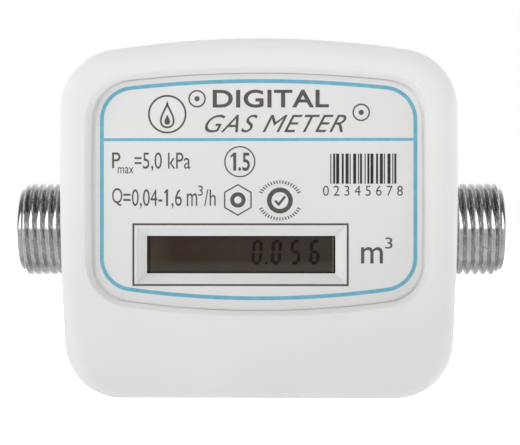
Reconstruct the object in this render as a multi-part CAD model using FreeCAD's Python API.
import FreeCAD, Part
import math
import os

from FreeCAD import Vector

# Compact jet (fluidic oscillator) gas meter with G1/2 stubs, in millimetres.
# X runs along the pipe from inlet (-X) to outlet (+X), the display faces -Y, Z is up.
# The origin is the centre of the footprint, on the surface that the meter stands on.

# ---- driving dimensions -------------------------------------------------------------
# casing
CASE_HALF_WIDTH = 44.0        # at the seam, y = 0
CASE_FRONT_HALF_WIDTH = 41.9  # at the front plane, after the moulding draft
CASE_HEIGHT = 76.0
CASE_HALF_DEPTH = 35.0
CASE_TOP_RADIUS = 205.0       # crown of the top
CASE_SIDE_RADIUS = 595.0      # slight bow of the side walls
CASE_WIDEST_Z = 47.0
CASE_TOP_CORNER = 12.5
CASE_BOTTOM_CORNER = 12.0
CASE_FRONT_FILLET = 4.6
CASE_FOOT_FILLET = 1.6        # along the front of the base
BASE_TRIM = 0.02              # planed off the base so that it is truly flat
CASE_REAR_FILLET = 5.0
WALL = 2.4
SEAM_CHAMFER = 0.3
TONGUE_DEPTH = 1.6
TONGUE_THICK = 1.1
TONGUE_INSET = 1.2
FIT = 0.1
PIPE_Z = 35.5
STUB_HOLE_RADIUS = 10.75
CHIN_TOP_Z = 14.6
CHIN_BLEND_RADIUS = 16.0
CHIN_SLOPE = math.radians(8.0)

# label pocket and window
POCKET_DEPTH = 2.4
RIM_HALF_WIDTH = 36.3
RIM_LOW_Z = 17.4
RIM_HIGH_Z = 69.5
POCKET_DRAFT = 1.05           # how far each pocket wall comes in from rim to floor
POCKET_TOP_RADIUS = 250.0
POCKET_BOTTOM_RADIUS = 200.0
POCKET_SIDE_RADIUS = 900.0
POCKET_CORNER = 9.4
POCKET_LIP = 0.5              # rounding of the rim
FLOOR_THICK = 1.8
LABEL_THICK = 0.3
LABEL_GAP = 0.15              # to the pocket wall, above and below
LABEL_SIDE_MARGIN = 0.6       # more of the floor shows on the left and right
WINDOW_X = -3.7
WINDOW_Z = 30.2
WINDOW_WIDTH = 39.9
WINDOW_HEIGHT = 7.9
WINDOW_BEVEL = 1.9
PANE_MARGIN = 2.0
PANE_THICK = 1.0

# display stack and board, front to back
GLASS_THICK = 1.1
GLASS_WIDTH = 44.0
FRONT_GLASS_HEIGHT = 15.0
REAR_GLASS_HEIGHT = 11.0
REFLECTOR_THICK = 0.2
HOLDER_WALL = 1.2
STRIP_HEIGHT = 1.8
BOARD_FRONT_Y = -25.8
BOARD_THICK = 1.6
BOARD_HALF_WIDTH = 33.0
BOARD_LOW_Z = 20.0
BOARD_HIGH_Z = 60.0
BOARD_SCREW_X = 30.2
BOARD_SCREW_Z = (23.0, 57.0)
BOARD_POST_RADIUS = 2.6
BOARD_HOLE_RADIUS = 1.2
BOARD_SCREW_RADIUS = 1.0
BOARD_SCREW_LENGTH = 5.0
BOARD_HEAD_RADIUS = 2.0
BOARD_HEAD_HEIGHT = 1.5
BATTERY_HEADER = (-14.0, 24.5)   # x, z
SENSOR_HEADER = (6.0, 56.5)
HEADER_WIDTH = 7.0
HEADER_HEIGHT = 4.6
CHIP_Z = 42.0
CHIP_SIZE = 10.0
CHIP_PIN_PITCH = 0.8

# battery
BATTERY_RADIUS = 7.25
BATTERY_LENGTH = 50.5
BATTERY_Y = -21.0
BATTERY_Z = 11.0
BUTTON_RADIUS = 2.8
BUTTON_LENGTH = 1.2
TAB_THICK = 0.3
TAB_HALF_WIDTH = 2.0
WIRE_RADIUS = 0.6
SADDLE_HALF_LENGTH = 20.0
SADDLE_FRONT_Y = -29.5
SADDLE_BACK_Y = -13.5
SADDLE_STRIP_TOP_Z = 3.4
SADDLE_RIB_X = (-18.0, 0.0, 18.0)
SADDLE_RIB_HALF = 1.5

# stubs
STUB_END_X = 55.0
THREAD_MAJOR = 10.4775        # G1/2, radius
THREAD_MINOR = 9.3155
THREAD_PITCH = 1.814
THREAD_LINE_WIDTH = 0.46      # ring grooves that mark the thread
THREAD_LINE_DEPTH = 0.45
THREAD_GROOVES = 4
THREAD_END_X = 53.43          # outer edge of the last crest
THREAD_RUN_IN = 0.5           # slope from the core up to the first crest
THREAD_RUN_OUT = 0.6
MOUTH_CHAMFER = 0.4
STUB_BORE = 6.5
SPIGOT_RADIUS = 9.0
SPIGOT_LENGTH = 8.0
HEX_FLATS = 24.0
HEX_THICK = 3.4
SHOULDER_RADIUS = 10.25
SHOULDER_END_X = 43.6
O_RING_SECTION = 0.75
O_RING_GROOVE_START = 3.0     # from the spigot's inner end
O_RING_GROOVE_WIDTH = 2.4
STRAINER_RADIUS = 7.6
STRAINER_THICK = 1.2
STRAINER_HOLE_RADIUS = 0.6
STRAINER_RING_STEP = 1.7
STRAINER_RINGS = 4            # the centre hole counts as the first

# meter body and jet module
BODY_HALF_WIDTH = 28.0
BODY_HALF_DEPTH = 13.0
BODY_LOW_Z = 16.0
BODY_HIGH_Z = 57.0
BODY_CORNER = 3.0
BOSS_RADIUS = 13.5
BOSS_END_X = 34.0
PASSAGE_RADIUS = 6.0
PORT_RADIUS = 5.0
PORT_X = 17.0
EAR_X = 32.0
EAR_Z = (19.5, 53.5)
EAR_HALF = 4.0
EAR_THICK = 8.0
GASKET_THICK = 0.8
JET_HALF_WIDTH = 25.5
JET_HALF_HEIGHT = 18.5
JET_PLATE_THICK = 9.0
JET_CHANNEL_DEPTH = 6.0
JET_THROAT = 1.8
JET_COVER_THICK = 4.0
JET_SCREW_X = (-22.0, -9.5, 9.5, 22.0)
JET_SCREW_OFFSET = 16.0
SENSOR_OFFSET = 10.4
SENSOR_RADIUS = 4.5
SENSOR_X = 1.0
SENSOR_POCKET_DEPTH = 1.8
SENSOR_SEAL_THICK = 1.2
SENSOR_SEAL_WIDTH = 1.2
PIEZO_THICK = 0.6
TAPPING_RADIUS = 1.2
CLAMP_THICK = 1.5
CLAMP_HALF_WIDTH = 3.5
CLAMP_WING_REACH = 11.0
CLAMP_WING_HALF_HEIGHT = 3.0
CLAMP_SCREW_OFFSET = 8.0
CLAMP_SCREW_RADIUS = 1.0
CLAMP_HEAD_RADIUS = 2.0
CLAMP_HEAD_HEIGHT = 1.2

# screws
CASE_SCREW_X = 35.5
CASE_SCREW_Z = (10.0, 65.0)
CASE_POST_RADIUS = 4.6
COUNTERBORE_RADIUS = 3.4
CASE_HEAD_Y = 27.0
CASE_SCREW_LENGTH = 38.0
BODY_SCREW_BITE = 12.0        # into the rear cover's posts
M3_RADIUS = 1.5
M3_CLEARANCE = 0.1
M3_HEAD_RADIUS = 2.75
M3_HEAD_HEIGHT = 2.2
SEAL_PLUG_HEIGHT = 3.4

# positions that follow from the sizes above
FLOOR_Y = -CASE_HALF_DEPTH + POCKET_DEPTH
PANE_FRONT_Y = FLOOR_Y + FLOOR_THICK
GLASS_FRONT_Y = PANE_FRONT_Y + PANE_THICK
REAR_GLASS_Y = GLASS_FRONT_Y + GLASS_THICK
REFLECTOR_Y = REAR_GLASS_Y + GLASS_THICK
BOARD_BACK_Y = BOARD_FRONT_Y + BOARD_THICK
BODY_GASKET_Y = BODY_HALF_DEPTH
JET_PLATE_Y = BODY_GASKET_Y + GASKET_THICK
COVER_GASKET_Y = JET_PLATE_Y + JET_PLATE_THICK
JET_COVER_Y = COVER_GASKET_Y + GASKET_THICK
JET_COVER_BACK_Y = JET_COVER_Y + JET_COVER_THICK
INNER_BACK_Y = CASE_HALF_DEPTH - WALL

X_AXIS = Vector(1, 0, 0)


# ---- small helpers ------------------------------------------------------------------
def save(name, solids):
    """Write one node: a solid, or a group of separate solids."""
    shape = solids if isinstance(solids, Part.Shape) else Part.makeCompound(solids)
    shape.exportStep("parts/" + name + ".step")


def box(low, high):
    size = Vector(*high) - Vector(*low)
    return Part.makeBox(size.x, size.y, size.z, Vector(*low))


def rod(radius, start, end):
    """A cylinder from one point to another."""
    along = Vector(*end) - Vector(*start)
    return Part.makeCylinder(radius, along.Length, Vector(*start), along)


def mirror_x(shape):
    return shape.mirror(Vector(0, 0, 0), X_AXIS)


def one_solid(shape):
    return shape.removeSplitter().Solids[0]


def extrude_y(points, start_y, end_y):
    """A prism from (x, z) corner points, running along Y."""
    corners = [Vector(x, start_y, z) for x, z in points]
    face = Part.Face(Part.makePolygon(corners + corners[:1]))
    return face.extrude(Vector(0, end_y - start_y, 0))


def corner_centre(centre_a, radius_a, centre_b, radius_b):
    """Centre of the corner arc, upper right, at radius_a and radius_b from two centres."""
    gap_x = centre_b[0] - centre_a[0]
    gap_z = centre_b[1] - centre_a[1]
    gap = math.hypot(gap_x, gap_z)
    along = (radius_a ** 2 - radius_b ** 2 + gap ** 2) / (2 * gap)
    across = math.sqrt(radius_a ** 2 - along ** 2)
    foot_x = centre_a[0] + along * gap_x / gap
    foot_z = centre_a[1] + along * gap_z / gap
    choices = []
    for sign in (-1, 1):
        choices.append((foot_x - sign * across * gap_z / gap,
                        foot_z + sign * across * gap_x / gap))
    return max(choices)


def arc(centre, radius, start, end, y):
    """An arc in an XZ plane between two directions, given in radians from +X."""
    middle = (start + end) / 2
    points = []
    for angle in (start, middle, end):
        points.append(Vector(centre[0] + radius * math.cos(angle), y,
                             centre[1] + radius * math.sin(angle)))
    return Part.Arc(*points).toShape()


def direction(origin, target):
    return math.atan2(target[1] - origin[1], target[0] - origin[0])


def case_outline(half_width, y, inset=0.0):
    """Casing outline: crowned top, bowed sides, flat base, four round corners."""
    top = (0.0, CASE_HEIGHT - CASE_TOP_RADIUS)
    side = (half_width - CASE_SIDE_RADIUS, CASE_WIDEST_Z)
    high = corner_centre(top, CASE_TOP_RADIUS - CASE_TOP_CORNER,
                         side, CASE_SIDE_RADIUS - CASE_TOP_CORNER)
    low_z = CASE_BOTTOM_CORNER - BASE_TRIM
    reach = CASE_SIDE_RADIUS - CASE_BOTTOM_CORNER
    low = (side[0] + math.sqrt(reach ** 2 - (CASE_WIDEST_Z - low_z) ** 2), low_z)
    top_end = direction(top, high)
    side_high = direction(side, high)
    side_low = direction(side, low)
    right = [
        arc(high, CASE_TOP_CORNER - inset, top_end, side_high, y),
        arc(side, CASE_SIDE_RADIUS - inset, side_high, side_low, y),
        arc(low, CASE_BOTTOM_CORNER - inset, side_low, -math.pi / 2, y),
    ]
    left = [mirror_x(edge) for edge in reversed(right)]
    crown = arc(top, CASE_TOP_RADIUS - inset, math.pi - top_end, top_end, y)
    base_z = inset - BASE_TRIM
    base = Part.makeLine(Vector(low[0], y, base_z), Vector(-low[0], y, base_z))
    return Part.Wire(Part.__sortEdges__([crown] + right + [base] + left))


def pocket_outline(inset, y, half_width=RIM_HALF_WIDTH):
    """Label pocket outline: bowed top, bottom and sides, and round corners."""
    top = (0.0, RIM_HIGH_Z - POCKET_TOP_RADIUS)
    bottom = (0.0, RIM_LOW_Z + POCKET_BOTTOM_RADIUS)
    side = (half_width - POCKET_SIDE_RADIUS, (RIM_LOW_Z + RIM_HIGH_Z) / 2)
    high = corner_centre(top, POCKET_TOP_RADIUS - POCKET_CORNER,
                         side, POCKET_SIDE_RADIUS - POCKET_CORNER)
    low = corner_centre(bottom, POCKET_BOTTOM_RADIUS - POCKET_CORNER,
                        side, POCKET_SIDE_RADIUS - POCKET_CORNER)
    top_end = direction(top, high)
    bottom_end = direction(bottom, low)
    side_high = direction(side, high)
    side_low = direction(side, low)
    right = [
        arc(high, POCKET_CORNER - inset, top_end, side_high, y),
        arc(side, POCKET_SIDE_RADIUS - inset, side_high, side_low, y),
        arc(low, POCKET_CORNER - inset, side_low, bottom_end, y),
    ]
    left = [mirror_x(edge) for edge in reversed(right)]
    crown = arc(top, POCKET_TOP_RADIUS - inset, math.pi - top_end, top_end, y)
    keel = arc(bottom, POCKET_BOTTOM_RADIUS - inset, bottom_end, -math.pi - bottom_end, y)
    return Part.Wire(Part.__sortEdges__([crown] + right + [keel] + left))


def prism(wire, depth):
    return Part.Face(wire).extrude(Vector(0, depth, 0))


def edges_at(shape, y):
    """Edges that lie wholly in the plane at this y."""
    found = []
    for edge in shape.Edges:
        bounds = edge.BoundBox
        if abs(bounds.YMin - y) < 1e-4 and abs(bounds.YMax - y) < 1e-4:
            found.append(edge)
    return found


def hexagon(flats, start, length):
    """Hexagonal prism along +X, centred on the pipe axis."""
    corner = flats / math.sqrt(3)
    points = []
    for step in range(6):
        angle = math.radians(60 * step)
        points.append(Vector(start, corner * math.sin(angle), PIPE_Z + corner * math.cos(angle)))
    return Part.Face(Part.makePolygon(points + points[:1])).extrude(Vector(length, 0, 0))


def screw(head, toward, length, radius, head_radius, head_height):
    """Pan-head screw with a cross recess. head is the centre of the head's seat."""
    seat = Vector(*head)
    along = Vector(*toward)
    shank = Part.makeCylinder(radius, length, seat, along)
    top = Part.makeCylinder(head_radius, head_height, seat - along * head_height, along)
    outer = seat - along * head_height
    rim = [edge for edge in top.Edges if abs((edge.CenterOfMass - outer).dot(along)) < 1e-6]
    top = top.makeFillet(head_height * 0.45, rim)
    slot = head_radius * 0.3
    arm = head_radius * 1.2
    cross = []
    for length_x, length_z in ((arm, slot), (slot, arm)):
        blade = Part.makeBox(length_x, 1.0, length_z)
        blade.translate(Vector(-length_x / 2, -0.5, -length_z / 2))
        cross.append(blade)
    recess = cross[0].fuse(cross[1])
    recess.translate(outer + along * 0.5)
    return one_solid(shank.fuse(top).cut(recess))


def tube(points, radius, bend):
    """Round wire along straight runs, joined by tangent arcs."""
    corners = [Vector(*point) for point in points]
    edges = []
    start = corners[0]
    for before, corner, after in zip(corners, corners[1:], corners[2:]):
        back = (before - corner).normalize()
        ahead = (after - corner).normalize()
        half = back.getAngle(ahead) / 2
        trim = bend / math.tan(half)
        enter = corner + back * trim
        leave = corner + ahead * trim
        middle_way = (back + ahead).normalize()
        middle = corner + middle_way * (bend / math.sin(half) - bend)
        edges.append(Part.LineSegment(start, enter).toShape())
        edges.append(Part.Arc(enter, middle, leave).toShape())
        start = leave
    edges.append(Part.LineSegment(start, corners[-1]).toShape())
    path = Part.Wire(edges)
    heading = corners[1] - corners[0]
    section = Part.Wire(Part.makeCircle(radius, corners[0], heading))
    return Part.Solid(path.makePipeShell([section], True, True))


# ---- casing -------------------------------------------------------------------------
def case_half(front_y, far_half_width):
    """Drafted outer form of one shell, from the chamfered seam to its far face."""
    way = math.copysign(1.0, front_y)
    sections = [
        case_outline(CASE_HALF_WIDTH, 0.0, SEAM_CHAMFER),
        case_outline(CASE_HALF_WIDTH, way * SEAM_CHAMFER),
        case_outline(far_half_width, front_y),
    ]
    form = Part.makeLoft(sections, True, True)
    return form.cut(box((-60, -60, -5), (60, 60, 0))).Solids[0]


def case_cavity(end_y, far_half_width):
    """Inside of one shell. It starts at the seam and follows the drafted walls."""
    reach = abs(end_y) / CASE_HALF_DEPTH
    half_width = CASE_HALF_WIDTH + (far_half_width - CASE_HALF_WIDTH) * reach
    sections = [case_outline(CASE_HALF_WIDTH, 0.0, WALL), case_outline(half_width, end_y, WALL)]
    return Part.makeLoft(sections, True, True)


def chin_cut():
    """The front below the pocket leans back, from a soft break down to the base."""
    turn_x = CHIN_BLEND_RADIUS * math.sin(CHIN_SLOPE)
    turn_y = CHIN_BLEND_RADIUS * (1 - math.cos(CHIN_SLOPE))
    half = CHIN_SLOPE / 2
    width = CASE_HALF_WIDTH + 5
    centre_y = -CASE_HALF_DEPTH + CHIN_BLEND_RADIUS
    start = Vector(-width, -CASE_HALF_DEPTH, CHIN_TOP_Z)
    middle = Vector(-width, centre_y - CHIN_BLEND_RADIUS * math.cos(half),
                    CHIN_TOP_Z - CHIN_BLEND_RADIUS * math.sin(half))
    leave = Vector(-width, -CASE_HALF_DEPTH + turn_y, CHIN_TOP_Z - turn_x)
    drop = leave.z + 2.0
    foot = Vector(-width, leave.y + drop * math.tan(CHIN_SLOPE), -2.0)
    outer_low = Vector(-width, -CASE_HALF_DEPTH - 5, -2.0)
    outer_high = Vector(-width, -CASE_HALF_DEPTH - 5, CHIN_TOP_Z)
    edges = [
        Part.Arc(start, middle, leave).toShape(),
        Part.makeLine(leave, foot),
        Part.makeLine(foot, outer_low),
        Part.makeLine(outer_low, outer_high),
        Part.makeLine(outer_high, start),
    ]
    return Part.Face(Part.Wire(edges)).extrude(Vector(2 * width, 0, 0))


def front_rim_edges(shape):
    """The outer edges round the front face and the chin, where the side walls end."""
    found = []
    for edge in shape.Edges:
        bounds = edge.BoundBox
        ahead_of_seam = bounds.YMax < -CASE_HALF_DEPTH * 0.8
        along_x_only = bounds.ZLength < 1e-3 and bounds.ZMin > 1.0
        if ahead_of_seam and not along_x_only:
            found.append(edge)
    return found


def rounded_front(shape):
    """Round the rim of the front: large at the top and sides, small along the base."""
    document = FreeCAD.newDocument("rounding")
    source = document.addObject("Part::Feature", "source")
    source.Shape = shape
    rim = front_rim_edges(shape)
    choices = []
    for index, edge in enumerate(shape.Edges, 1):
        if not any(edge.isSame(other) for other in rim):
            continue
        bounds = edge.BoundBox
        start, end = CASE_FRONT_FILLET, CASE_FRONT_FILLET
        if bounds.ZMax < 1.0:
            start, end = CASE_FOOT_FILLET, CASE_FOOT_FILLET
        elif bounds.ZMin < 1.0 and edge.CenterOfMass.x > 0:
            end = CASE_FOOT_FILLET
        elif bounds.ZMin < 1.0:
            start = CASE_FOOT_FILLET
        choices.append((index, start, end))
    rounding = document.addObject("Part::Fillet", "rounded")
    rounding.Base = source
    rounding.Edges = choices
    document.recompute()
    result = rounding.Shape.Solids[0]
    FreeCAD.closeDocument(document.Name)
    return result


def stub_holes():
    return rod(STUB_HOLE_RADIUS, (-60, 0, PIPE_Z), (60, 0, PIPE_Z))


def window_cut():
    """Bevelled opening for the display, wider towards the label."""
    sections = []
    for y, grow in ((FLOOR_Y, WINDOW_BEVEL), (PANE_FRONT_Y, 0.0)):
        half_x = WINDOW_WIDTH / 2 + grow
        half_z = WINDOW_HEIGHT / 2 + grow
        corners = []
        for x, z in ((-half_x, -half_z), (half_x, -half_z), (half_x, half_z), (-half_x, half_z)):
            corners.append(Vector(WINDOW_X + x, y, WINDOW_Z + z))
        sections.append(Part.makePolygon(corners + corners[:1]))
    return Part.makeLoft(sections, True, True)


def front_cover():
    shell = case_half(-CASE_HALF_DEPTH, CASE_FRONT_HALF_WIDTH).cut(chin_cut())
    shell = rounded_front(shell.Solids[0])
    rim = pocket_outline(0.0, -CASE_HALF_DEPTH)
    floor = pocket_outline(POCKET_DRAFT, FLOOR_Y)
    shell = shell.cut(Part.makeLoft([rim, floor], True, True))
    rim_edges = [edge for edge in edges_at(shell, -CASE_HALF_DEPTH)
                 if abs(edge.CenterOfMass.x) < RIM_HALF_WIDTH + 0.5
                 and RIM_LOW_Z - 1 < edge.CenterOfMass.z < RIM_HIGH_Z + 0.5
                 and edge.CenterOfMass.z > CHIN_TOP_Z + 0.5]
    shell = shell.makeFillet(POCKET_LIP, rim_edges)
    shell = shell.cut(case_cavity(PANE_FRONT_Y, CASE_FRONT_HALF_WIDTH))
    rebate = prism(case_outline(CASE_HALF_WIDTH, 0.0, TONGUE_INSET - FIT),
                   -(TONGUE_DEPTH + FIT))
    shell = shell.cut(rebate).cut(window_cut())
    room = case_cavity(PANE_FRONT_Y, CASE_FRONT_HALF_WIDTH).fuse(rebate)
    posts = []
    pilots = []
    for sign in (-1, 1):
        for z in CASE_SCREW_Z:
            x = sign * CASE_SCREW_X
            posts.append(rod(CASE_POST_RADIUS, (x, PANE_FRONT_Y - 0.1, z), (x, 0, z)))
            pilots.append(rod(M3_RADIUS, (x, CASE_HEAD_Y - CASE_SCREW_LENGTH, z), (x, 1, z)))
        for z in BOARD_SCREW_Z:
            x = sign * BOARD_SCREW_X
            posts.append(rod(BOARD_POST_RADIUS, (x, PANE_FRONT_Y - 0.1, z), (x, BOARD_FRONT_Y, z)))
            pilots.append(rod(BOARD_SCREW_RADIUS, (x, PANE_FRONT_Y + 0.5, z),
                              (x, BOARD_FRONT_Y + 1, z)))
    solid = shell
    for post in posts:
        solid = solid.fuse(post.common(room.fuse(shell)))
    for pilot in pilots:
        solid = solid.cut(pilot)
    return one_solid(solid.cut(stub_holes()))


def rear_cover():
    shell = case_half(CASE_HALF_DEPTH, CASE_FRONT_HALF_WIDTH)
    shell = shell.makeFillet(CASE_REAR_FILLET, edges_at(shell, CASE_HALF_DEPTH))
    room = case_cavity(INNER_BACK_Y, CASE_FRONT_HALF_WIDTH)
    shell = shell.cut(room)
    tongue = prism(case_outline(CASE_HALF_WIDTH, -TONGUE_DEPTH, TONGUE_INSET), TONGUE_DEPTH)
    tongue = tongue.cut(prism(case_outline(CASE_HALF_WIDTH, -TONGUE_DEPTH,
                                           TONGUE_INSET + TONGUE_THICK), TONGUE_DEPTH))
    for sign in (-1, 1):
        for z in CASE_SCREW_Z:
            x = sign * CASE_SCREW_X
            tongue = tongue.cut(rod(CASE_POST_RADIUS + FIT, (x, -TONGUE_DEPTH, z), (x, 0, z)))
    shell = shell.fuse(tongue)
    for sign in (-1, 1):
        for z in CASE_SCREW_Z:
            x = sign * CASE_SCREW_X
            post = rod(CASE_POST_RADIUS, (x, 0, z), (x, INNER_BACK_Y + 0.1, z))
            shell = shell.fuse(post.common(room.fuse(shell)))
            shell = shell.cut(rod(M3_RADIUS + M3_CLEARANCE, (x, -1, z), (x, CASE_HEAD_Y, z)))
            shell = shell.cut(rod(COUNTERBORE_RADIUS, (x, CASE_HEAD_Y, z),
                                  (x, CASE_HALF_DEPTH + 1, z)))
        for z in EAR_Z:
            x = sign * EAR_X
            post = rod(EAR_HALF - 0.5, (x, BODY_HALF_DEPTH, z), (x, INNER_BACK_Y + 0.1, z))
            shell = shell.fuse(post)
            shell = shell.cut(rod(M3_RADIUS, (x, BODY_HALF_DEPTH, z), (x, BODY_HALF_DEPTH + 14, z)))
    return one_solid(shell.cut(stub_holes()))


def label_plate():
    """Printed film on the pocket floor, cut out round the window's bevel."""
    outline = pocket_outline(POCKET_DRAFT + LABEL_GAP, FLOOR_Y,
                             RIM_HALF_WIDTH - LABEL_SIDE_MARGIN)
    film = prism(outline, -LABEL_THICK)
    half_x = WINDOW_WIDTH / 2 + WINDOW_BEVEL + 0.1
    half_z = WINDOW_HEIGHT / 2 + WINDOW_BEVEL + 0.1
    opening = box((WINDOW_X - half_x, FLOOR_Y - 1, WINDOW_Z - half_z),
                  (WINDOW_X + half_x, FLOOR_Y + 1, WINDOW_Z + half_z))
    return one_solid(film.cut(opening))


# ---- display ------------------------------------------------------------------------
def slab(width, height, front_y, back_y):
    """A flat sheet centred on the display window."""
    return box((WINDOW_X - width / 2, front_y, WINDOW_Z - height / 2),
               (WINDOW_X + width / 2, back_y, WINDOW_Z + height / 2))


def window_pane():
    return slab(WINDOW_WIDTH + 2 * PANE_MARGIN, WINDOW_HEIGHT + 2 * PANE_MARGIN,
                PANE_FRONT_Y, PANE_FRONT_Y + PANE_THICK)


def display_holder():
    """Open frame round the glass stack, standing on the board."""
    inner_width = GLASS_WIDTH + FIT
    inner_height = FRONT_GLASS_HEIGHT + FIT
    outer = slab(inner_width + 2 * HOLDER_WALL, inner_height + 2 * HOLDER_WALL,
                 GLASS_FRONT_Y, BOARD_FRONT_Y)
    return outer.cut(slab(inner_width, inner_height, GLASS_FRONT_Y - 1, BOARD_FRONT_Y + 1))


def contact_strips():
    """Conductive rubber strips from the front glass's ledges to the board."""
    strips = []
    ledge = (FRONT_GLASS_HEIGHT + REAR_GLASS_HEIGHT) / 4
    for side in (-1, 1):
        z = WINDOW_Z + side * ledge
        strips.append(box((WINDOW_X - GLASS_WIDTH / 2 + 1, REAR_GLASS_Y, z - STRIP_HEIGHT / 2),
                          (WINDOW_X + GLASS_WIDTH / 2 - 1, BOARD_FRONT_Y, z + STRIP_HEIGHT / 2)))
    return strips


# ---- board --------------------------------------------------------------------------
def circuit_board():
    board = box((-BOARD_HALF_WIDTH, BOARD_FRONT_Y, BOARD_LOW_Z),
                (BOARD_HALF_WIDTH, BOARD_BACK_Y, BOARD_HIGH_Z))
    for sign in (-1, 1):
        for z in BOARD_SCREW_Z:
            x = sign * BOARD_SCREW_X
            board = board.cut(rod(BOARD_HOLE_RADIUS, (x, BOARD_FRONT_Y - 1, z),
                                  (x, BOARD_BACK_Y + 1, z)))
    return one_solid(board)


def on_board(x, z, width, height, thick):
    """A component body on the back of the board."""
    return box((x - width / 2, BOARD_BACK_Y, z - height / 2),
               (x + width / 2, BOARD_BACK_Y + thick, z + height / 2))


def microcontroller():
    """Square package with pins on two sides."""
    chip = on_board(0, CHIP_Z, CHIP_SIZE, CHIP_SIZE, 1.6)
    for row in range(-5, 6):
        for side in (-1, 1):
            pin_x = side * (CHIP_SIZE / 2 + 0.5)
            chip = chip.fuse(on_board(pin_x, CHIP_Z + row * CHIP_PIN_PITCH, 1.2, 0.35, 0.5))
    return one_solid(chip)


def quartz_crystal():
    can = on_board(12.5, 47, 8.0, 3.2, 2.5)
    upright = [edge for edge in can.Edges if edge.BoundBox.YLength > 2]
    return can.makeFillet(1.4, upright)


def capacitors():
    cans = []
    for x, z in ((-14, 52), (-7, 54), (18, 54)):
        cans.append(rod(2.5, (x, BOARD_BACK_Y, z), (x, BOARD_BACK_Y + 5.4, z)))
    for column in range(5):
        cans.append(on_board(-20 + 3.2 * column, 35, 1.2, 2.0, 1.0))
    return cans


def resistors():
    chips = []
    for column in range(6):
        for row in range(2):
            chips.append(on_board(9 + 2.6 * column, 35 - 3.4 * row, 1.25, 2.0, 0.5))
    return chips


def board_connectors():
    """Two-way headers: battery at the bottom edge, sensors at the top edge."""
    headers = []
    for x, z in (BATTERY_HEADER, SENSOR_HEADER):
        headers.append(on_board(x, z, HEADER_WIDTH, HEADER_HEIGHT, HEADER_HEIGHT))
    return headers


def board_screws():
    screws = []
    for sign in (-1, 1):
        for z in BOARD_SCREW_Z:
            screws.append(screw((sign * BOARD_SCREW_X, BOARD_BACK_Y, z), (0, -1, 0),
                                BOARD_SCREW_LENGTH, BOARD_SCREW_RADIUS,
                                BOARD_HEAD_RADIUS, BOARD_HEAD_HEIGHT))
    return screws


# ---- battery ------------------------------------------------------------------------
def battery():
    half = BATTERY_LENGTH / 2
    shoulder = half - BUTTON_LENGTH
    cell = rod(BATTERY_RADIUS, (-half, BATTERY_Y, BATTERY_Z), (shoulder, BATTERY_Y, BATTERY_Z))
    ends = [edge for edge in cell.Edges if edge.BoundBox.XLength < 1e-3]
    cell = cell.makeFillet(0.6, ends)
    button = rod(BUTTON_RADIUS, (shoulder, BATTERY_Y, BATTERY_Z), (half, BATTERY_Y, BATTERY_Z))
    return one_solid(cell.fuse(button))


def battery_tabs():
    half = BATTERY_LENGTH / 2
    tabs = []
    for side in (-1, 1):
        near, far = sorted((side * half, side * (half + TAB_THICK)))
        tabs.append(box((near, BATTERY_Y - TAB_HALF_WIDTH, BATTERY_Z - 4),
                        (far, BATTERY_Y + TAB_HALF_WIDTH, BATTERY_Z + 7)))
    return tabs


def battery_leads():
    """Two insulated wires from the tabs to the battery header."""
    wires = []
    wire_y = BOARD_BACK_Y + 3.6
    header_x, header_z = BATTERY_HEADER
    for side in (-1, 1):
        tab_x = side * (BATTERY_LENGTH / 2 + TAB_THICK)
        lane_x = tab_x + side * 4.4
        end_x = header_x + side * 1.6
        route = [(tab_x, BATTERY_Y, BATTERY_Z + 6),
                 (lane_x, BATTERY_Y, BATTERY_Z + 6),
                 (lane_x, wire_y, BATTERY_Z + 9),
                 (end_x, wire_y, BATTERY_Z + 9),
                 (end_x, wire_y, header_z - HEADER_HEIGHT / 2)]
        wires.append(tube(route, WIRE_RADIUS, 1.0))
    return wires


def battery_saddle():
    """Three ribs on a strip that carry the cell above the base."""
    saddle = box((-SADDLE_HALF_LENGTH, SADDLE_FRONT_Y, WALL),
                 (SADDLE_HALF_LENGTH, SADDLE_BACK_Y, SADDLE_STRIP_TOP_Z))
    for x in SADDLE_RIB_X:
        saddle = saddle.fuse(box((x - SADDLE_RIB_HALF, SADDLE_FRONT_Y, SADDLE_STRIP_TOP_Z),
                                 (x + SADDLE_RIB_HALF, SADDLE_BACK_Y, BATTERY_Z)))
    cell_room = rod(BATTERY_RADIUS, (-40, BATTERY_Y, BATTERY_Z), (40, BATTERY_Y, BATTERY_Z))
    return one_solid(saddle.cut(cell_room))


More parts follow.
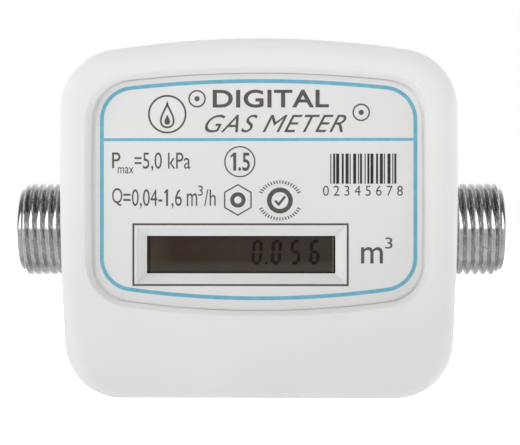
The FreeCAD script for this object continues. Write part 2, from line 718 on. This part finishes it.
# ---- stubs --------------------------------------------------------------------------
def stub_profile():
    """Half section of a stub, as (x, radius) points from the inner end to the mouth."""
    inner_x = BOSS_END_X - SPIGOT_LENGTH
    ring_start = inner_x + O_RING_GROOVE_START
    ring_end = ring_start + O_RING_GROOVE_WIDTH
    ring_floor = SPIGOT_RADIUS - 2 * O_RING_SECTION
    band = THREAD_PITCH - THREAD_LINE_WIDTH
    thread_start = THREAD_END_X - THREAD_GROOVES * THREAD_PITCH - band
    points = [
        (inner_x, STRAINER_RADIUS),
        (inner_x, SPIGOT_RADIUS),
        (ring_start, SPIGOT_RADIUS),
        (ring_start, ring_floor),
        (ring_end, ring_floor),
        (ring_end, SPIGOT_RADIUS),
        (BOSS_END_X, SPIGOT_RADIUS),
        (BOSS_END_X, SHOULDER_RADIUS),
        (SHOULDER_END_X, SHOULDER_RADIUS),
        (SHOULDER_END_X + THREAD_RUN_IN, THREAD_MINOR),
        (thread_start - THREAD_RUN_IN, THREAD_MINOR),
        (thread_start, THREAD_MAJOR),
    ]
    for groove in range(THREAD_GROOVES):
        x = thread_start + groove * THREAD_PITCH + band
        points.append((x, THREAD_MAJOR))
        points.append((x + THREAD_LINE_WIDTH / 2, THREAD_MAJOR - THREAD_LINE_DEPTH))
        points.append((x + THREAD_LINE_WIDTH, THREAD_MAJOR))
    points += [
        (THREAD_END_X, THREAD_MAJOR),
        (THREAD_END_X + THREAD_RUN_OUT, THREAD_MINOR),
        (STUB_END_X - MOUTH_CHAMFER, THREAD_MINOR),
        (STUB_END_X, THREAD_MINOR - MOUTH_CHAMFER),
        (STUB_END_X, STUB_BORE + MOUTH_CHAMFER),
        (STUB_END_X - MOUTH_CHAMFER, STUB_BORE),
        (inner_x + STRAINER_THICK, STUB_BORE),
        (inner_x + STRAINER_THICK, STRAINER_RADIUS),
    ]
    return points


def outlet_stub():
    points = [Vector(x, 0, PIPE_Z + radius) for x, radius in stub_profile()]
    face = Part.Face(Part.makePolygon(points + points[:1]))
    turned = face.revolve(Vector(0, 0, PIPE_Z), X_AXIS, 360)
    nut = hexagon(HEX_FLATS, BOSS_END_X, HEX_THICK)
    nut = nut.cut(rod(SHOULDER_RADIUS - 0.5, (BOSS_END_X - 1, 0, PIPE_Z), (45, 0, PIPE_Z)))
    return one_solid(turned.fuse(nut))


def stub_o_rings():
    rings = []
    ring_x = BOSS_END_X - SPIGOT_LENGTH + O_RING_GROOVE_START + O_RING_GROOVE_WIDTH / 2
    for side in (-1, 1):
        rings.append(Part.makeTorus(SPIGOT_RADIUS - O_RING_SECTION, O_RING_SECTION,
                                    Vector(side * ring_x, 0, PIPE_Z), X_AXIS))
    return rings


def inlet_strainer():
    """Perforated disc held in the inner end of the inlet stub."""
    start = -(BOSS_END_X - SPIGOT_LENGTH)
    disc = rod(STRAINER_RADIUS, (start - STRAINER_THICK, 0, PIPE_Z), (start, 0, PIPE_Z))
    for ring in range(STRAINER_RINGS):
        count = max(1, 6 * ring)
        for step in range(count):
            angle = 2 * math.pi * step / count
            y = STRAINER_RING_STEP * ring * math.cos(angle)
            z = PIPE_Z + STRAINER_RING_STEP * ring * math.sin(angle)
            disc = disc.cut(rod(STRAINER_HOLE_RADIUS, (start - 5, y, z), (start + 1, y, z)))
    return one_solid(disc)


# ---- meter body and jet module ------------------------------------------------------
def jet_screw_points():
    points = []
    for x in JET_SCREW_X:
        for side in (-1, 1):
            points.append((x, PIPE_Z + side * JET_SCREW_OFFSET))
    return points


def meter_body():
    """Die-cast block with an inlet and an outlet chamber, ported to its back face."""
    body = box((-BODY_HALF_WIDTH, -BODY_HALF_DEPTH, BODY_LOW_Z),
               (BODY_HALF_WIDTH, BODY_HALF_DEPTH, BODY_HIGH_Z))
    upright = [edge for edge in body.Edges if edge.BoundBox.YLength > 2]
    body = body.makeFillet(BODY_CORNER, upright)
    body = body.fuse(rod(BOSS_RADIUS, (-BOSS_END_X, 0, PIPE_Z), (BOSS_END_X, 0, PIPE_Z)))
    for sign in (-1, 1):
        for z in EAR_Z:
            x = sign * EAR_X
            low = (min(x - EAR_HALF, x + EAR_HALF), BODY_HALF_DEPTH - EAR_THICK, z - EAR_HALF)
            high = (x + EAR_HALF, BODY_HALF_DEPTH, z + EAR_HALF)
            body = body.fuse(box(low, high))
            body = body.cut(rod(M3_RADIUS + M3_CLEARANCE, (x, 0, z),
                                (x, BODY_HALF_DEPTH + 1, z)))
    body = body.cut(box((-BODY_HALF_WIDTH - 20, BODY_HALF_DEPTH, 0),
                        (BODY_HALF_WIDTH + 20, BODY_HALF_DEPTH + 5, CASE_HEIGHT)))
    for sign in (-1, 1):
        spigot_x = sign * (BOSS_END_X - SPIGOT_LENGTH)
        body = body.cut(rod(SPIGOT_RADIUS, (sign * 60, 0, PIPE_Z), (spigot_x, 0, PIPE_Z)))
        body = body.cut(rod(PASSAGE_RADIUS, (sign * 60, 0, PIPE_Z), (sign * 10, 0, PIPE_Z)))
        body = body.cut(rod(PORT_RADIUS, (sign * PORT_X, 0, PIPE_Z),
                            (sign * PORT_X, BODY_HALF_DEPTH + 1, PIPE_Z)))
    for x, z in jet_screw_points():
        body = body.cut(rod(M3_RADIUS, (x, BODY_HALF_DEPTH - 8, z), (x, BODY_HALF_DEPTH + 1, z)))
    return one_solid(body)


def module_sheet(front_y, thick):
    """A plate of the jet module's outline with its screw holes."""
    plate = box((-JET_HALF_WIDTH, front_y, PIPE_Z - JET_HALF_HEIGHT),
                (JET_HALF_WIDTH, front_y + thick, PIPE_Z + JET_HALF_HEIGHT))
    upright = [edge for edge in plate.Edges if edge.BoundBox.ZLength < 1e-3
               and edge.BoundBox.XLength < 1e-3]
    plate = plate.makeFillet(BODY_CORNER, upright)
    for x, z in jet_screw_points():
        plate = plate.cut(rod(M3_RADIUS + M3_CLEARANCE, (x, front_y - 1, z),
                              (x, front_y + thick + 1, z)))
    return plate


def body_gasket():
    sheet = module_sheet(BODY_GASKET_Y, GASKET_THICK)
    for sign in (-1, 1):
        x = sign * PORT_X
        sheet = sheet.cut(rod(PORT_RADIUS, (x, 0, PIPE_Z), (x, 20, PIPE_Z)))
    return one_solid(sheet)


def jet_channels(start_y, end_y):
    """Nozzle, interaction chamber with its splitter, outlet legs and feedback loops."""
    mid = PIPE_Z
    half_throat = JET_THROAT / 2
    room = rod(PORT_RADIUS, (-PORT_X, start_y, mid), (-PORT_X, end_y, mid))
    room = room.fuse(rod(PORT_RADIUS, (PORT_X, start_y, mid), (PORT_X, end_y, mid)))
    nozzle = [(-15, mid - 4), (-8.5, mid - half_throat), (-6.5, mid - half_throat),
              (-6.5, mid + half_throat), (-8.5, mid + half_throat), (-15, mid + 4)]
    chamber = [(-6.5, mid - 1.6), (5, mid - 6.5), (15, mid - 4), (15, mid + 4),
               (5, mid + 6.5), (-6.5, mid + 1.6)]
    splitter = [(1.5, mid), (7.5, mid - 3.4), (9.5, mid), (7.5, mid + 3.4)]
    room = room.fuse(extrude_y(nozzle, start_y, end_y))
    room = room.fuse(extrude_y(chamber, start_y, end_y))
    for side in (-1, 1):
        high = mid + side * SENSOR_OFFSET
        top = [(-6.0, high - 1.2), (8.2, high - 1.2), (8.2, high + 1.2), (-6.0, high + 1.2)]
        down = [(5.8, mid + side * 5), (8.2, mid + side * 5), (8.2, high), (5.8, high)]
        back = [(-6.0, mid + side * 0.9), (-4.4, mid + side * 0.9), (-4.4, high), (-6.0, high)]
        for loop in (top, down, back):
            room = room.fuse(extrude_y(loop, start_y, end_y))
    return room.cut(extrude_y(splitter, start_y, end_y))


def jet_plate():
    plate = module_sheet(JET_PLATE_Y, JET_PLATE_THICK)
    floor_y = COVER_GASKET_Y - JET_CHANNEL_DEPTH
    plate = plate.cut(jet_channels(floor_y, COVER_GASKET_Y))
    for sign in (-1, 1):
        x = sign * PORT_X
        plate = plate.cut(rod(PORT_RADIUS, (x, JET_PLATE_Y - 1, PIPE_Z), (x, floor_y, PIPE_Z)))
    return one_solid(plate)


def sensor_points():
    return [(SENSOR_X, PIPE_Z + side * SENSOR_OFFSET) for side in (-1, 1)]


def jet_cover_gasket():
    sheet = module_sheet(COVER_GASKET_Y, GASKET_THICK)
    for x, z in sensor_points():
        sheet = sheet.cut(rod(TAPPING_RADIUS, (x, COVER_GASKET_Y - 1, z),
                              (x, COVER_GASKET_Y + 3, z)))
    return one_solid(sheet)


def jet_cover():
    """Closing plate with a tapping and a pocket for each pressure sensor."""
    plate = module_sheet(JET_COVER_Y, JET_COVER_THICK)
    for x, z in sensor_points():
        plate = plate.cut(rod(TAPPING_RADIUS, (x, JET_COVER_Y - 1, z),
                              (x, JET_COVER_BACK_Y, z)))
        plate = plate.cut(rod(SENSOR_RADIUS + FIT, (x, JET_COVER_BACK_Y - SENSOR_POCKET_DEPTH, z),
                              (x, JET_COVER_BACK_Y + 1, z)))
    for side in (-1, 1):
        x = SENSOR_X + side * CLAMP_SCREW_OFFSET
        plate = plate.cut(rod(CLAMP_SCREW_RADIUS, (x, JET_COVER_BACK_Y - 3, PIPE_Z),
                              (x, JET_COVER_BACK_Y + 1, PIPE_Z)))
    return one_solid(plate)


def sensor_seals():
    rings = []
    for x, z in sensor_points():
        start = JET_COVER_BACK_Y - SENSOR_POCKET_DEPTH
        ring = rod(SENSOR_RADIUS, (x, start, z), (x, start + SENSOR_SEAL_THICK, z))
        rings.append(ring.cut(rod(SENSOR_RADIUS - SENSOR_SEAL_WIDTH, (x, start - 1, z),
                                  (x, start + 2, z))))
    return rings


def piezo_discs():
    discs = []
    for x, z in sensor_points():
        start = JET_COVER_BACK_Y - PIEZO_THICK
        discs.append(rod(SENSOR_RADIUS, (x, start, z), (x, start + PIEZO_THICK, z)))
    return discs


def sensor_clamp():
    """Bar that presses both sensors, with a wire hole over each one."""
    half_height = SENSOR_OFFSET + SENSOR_RADIUS + 0.5
    top_y = JET_COVER_BACK_Y + CLAMP_THICK
    bar = box((SENSOR_X - CLAMP_HALF_WIDTH, JET_COVER_BACK_Y, PIPE_Z - half_height),
              (SENSOR_X + CLAMP_HALF_WIDTH, top_y, PIPE_Z + half_height))
    wings = box((SENSOR_X - CLAMP_WING_REACH, JET_COVER_BACK_Y, PIPE_Z - CLAMP_WING_HALF_HEIGHT),
                (SENSOR_X + CLAMP_WING_REACH, top_y, PIPE_Z + CLAMP_WING_HALF_HEIGHT))
    bar = bar.fuse(wings)
    for x, z in sensor_points():
        bar = bar.cut(rod(TAPPING_RADIUS, (x, JET_COVER_BACK_Y - 1, z),
                          (x, JET_COVER_BACK_Y + 3, z)))
    for side in (-1, 1):
        x = SENSOR_X + side * CLAMP_SCREW_OFFSET
        bar = bar.cut(rod(CLAMP_SCREW_RADIUS + 0.2, (x, JET_COVER_BACK_Y - 1, PIPE_Z),
                          (x, JET_COVER_BACK_Y + 3, PIPE_Z)))
    return one_solid(bar)


def sensor_clamp_screws():
    screws = []
    for side in (-1, 1):
        x = SENSOR_X + side * CLAMP_SCREW_OFFSET
        screws.append(screw((x, JET_COVER_BACK_Y + CLAMP_THICK, PIPE_Z), (0, -1, 0),
                            CLAMP_THICK + 2.8, CLAMP_SCREW_RADIUS,
                            CLAMP_HEAD_RADIUS, CLAMP_HEAD_HEIGHT))
    return screws


def jet_cover_screws():
    depth = JET_COVER_BACK_Y - BODY_HALF_DEPTH + 7.0
    screws = []
    for x, z in jet_screw_points():
        screws.append(screw((x, JET_COVER_BACK_Y, z), (0, -1, 0), depth,
                            M3_RADIUS, M3_HEAD_RADIUS, M3_HEAD_HEIGHT))
    return screws


def sensor_leads():
    """Insulated wires from the sensors, up the back and over the body to the board."""
    wires = []
    back_y = JET_COVER_BACK_Y + 3.3
    over_z = BODY_HIGH_Z + 3.0
    header_y = BOARD_BACK_Y + 2.4
    for index, (x, z) in enumerate(sensor_points()):
        lane_x = x + 7.0 - 2.0 * index
        level = over_z + 1.6 * index
        end_z = SENSOR_HEADER[1] + HEADER_HEIGHT / 2
        wires.append(tube([(x, JET_COVER_BACK_Y, z), (x, back_y, z), (lane_x, back_y, z + 4.0),
                           (lane_x, back_y, level), (lane_x, header_y, level),
                           (lane_x, header_y, end_z)], WIRE_RADIUS, 1.1))
    return wires


# ---- screws and seal ----------------------------------------------------------------
def body_screws():
    screws = []
    for sign in (-1, 1):
        for z in EAR_Z:
            screws.append(screw((sign * EAR_X, BODY_HALF_DEPTH - EAR_THICK, z), (0, 1, 0),
                                EAR_THICK + BODY_SCREW_BITE, M3_RADIUS,
                                M3_HEAD_RADIUS, M3_HEAD_HEIGHT))
    return screws


def case_screws():
    screws = []
    for sign in (-1, 1):
        for z in CASE_SCREW_Z:
            screws.append(screw((sign * CASE_SCREW_X, CASE_HEAD_Y, z), (0, -1, 0),
                                CASE_SCREW_LENGTH, M3_RADIUS, M3_HEAD_RADIUS, M3_HEAD_HEIGHT))
    return screws


def seal_plug():
    """Verification seal pressed into the mouth of one case screw's counterbore."""
    start = CASE_HEAD_Y + M3_HEAD_HEIGHT
    end = start + SEAL_PLUG_HEIGHT
    plug = rod(COUNTERBORE_RADIUS, (CASE_SCREW_X, start, CASE_SCREW_Z[1]),
               (CASE_SCREW_X, end, CASE_SCREW_Z[1]))
    outer = edges_at(plug, end)
    return plug.makeFillet(0.5, outer)


# ---- write every node ---------------------------------------------------------------
def build():
    os.makedirs("parts", exist_ok=True)
    right_stub = outlet_stub()
    save("front_cover", front_cover())
    save("rear_cover", rear_cover())
    save("label_plate", label_plate())
    save("window_pane", window_pane())
    save("display_front_glass", slab(GLASS_WIDTH, FRONT_GLASS_HEIGHT, GLASS_FRONT_Y, REAR_GLASS_Y))
    save("display_rear_glass", slab(GLASS_WIDTH, REAR_GLASS_HEIGHT, REAR_GLASS_Y, REFLECTOR_Y))
    save("display_reflector", slab(GLASS_WIDTH - 1, REAR_GLASS_HEIGHT - 1, REFLECTOR_Y,
                                   REFLECTOR_Y + REFLECTOR_THICK))
    save("display_holder", display_holder())
    save("contact_strips", contact_strips())
    save("circuit_board", circuit_board())
    save("microcontroller", microcontroller())
    save("quartz_crystal", quartz_crystal())
    save("capacitors", capacitors())
    save("resistors", resistors())
    save("board_connectors", board_connectors())
    save("board_screws", board_screws())
    save("battery", battery())
    save("battery_tabs", battery_tabs())
    save("battery_leads", battery_leads())
    save("battery_saddle", battery_saddle())
    save("outlet_stub", right_stub)
    save("inlet_stub", mirror_x(right_stub))
    save("stub_o_rings", stub_o_rings())
    save("inlet_strainer", inlet_strainer())
    save("meter_body", meter_body())
    save("body_gasket", body_gasket())
    save("jet_plate", jet_plate())
    save("jet_cover_gasket", jet_cover_gasket())
    save("jet_cover", jet_cover())
    save("jet_cover_screws", jet_cover_screws())
    save("sensor_seals", sensor_seals())
    save("piezo_discs", piezo_discs())
    save("sensor_clamp", sensor_clamp())
    save("sensor_clamp_screws", sensor_clamp_screws())
    save("sensor_leads", sensor_leads())
    save("body_screws", body_screws())
    save("case_screws", case_screws())
    save("seal_plug", seal_plug())


build()
